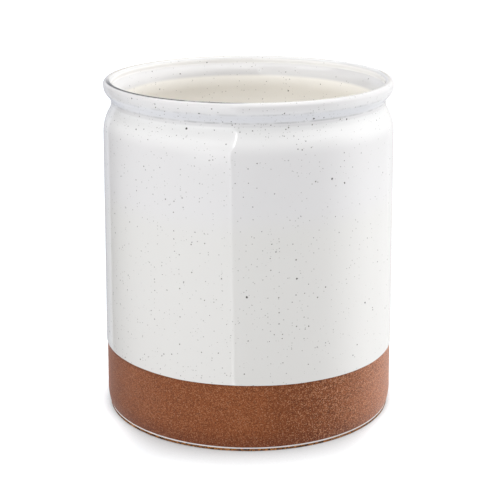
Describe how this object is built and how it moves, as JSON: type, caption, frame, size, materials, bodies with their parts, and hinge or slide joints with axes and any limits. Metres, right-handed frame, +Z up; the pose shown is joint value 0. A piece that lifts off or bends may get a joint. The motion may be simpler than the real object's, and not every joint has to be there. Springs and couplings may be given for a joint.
{
  "type": "utensil crock",
  "caption": "Round ceramic crock with a rolled lip and drawn-in neck, glazed above a bare clay band and standing on a thin cork pad, for holding kitchen utensils upright.",
  "frame": {"origin": "centre of the cork pad's underside, on the surface that the crock stands on", "axes": "+Z up along the crock's axis of revolution; -Y is the side that the picture shows, +X to its right"},
  "size_m": [0.153, 0.153, 0.1748],
  "materials": {
    "terracotta": "bare fired clay, satin with a fine sandy grain",
    "speckled_glaze": "glossy off-white glaze with fine dark specks",
    "liner_glaze": "glossy off-white liner glaze with fine dark specks",
    "bonding_film": "pale adhesive film",
    "cork": "pressed cork granules"
  },
  "bodies": {
    "root": {"clay_body": "terracotta", "outer_glaze": "speckled_glaze", "liner_glaze": "liner_glaze", "bonding_film": "bonding_film", "cork_pad": "cork"}
  },
  "joints": []
}
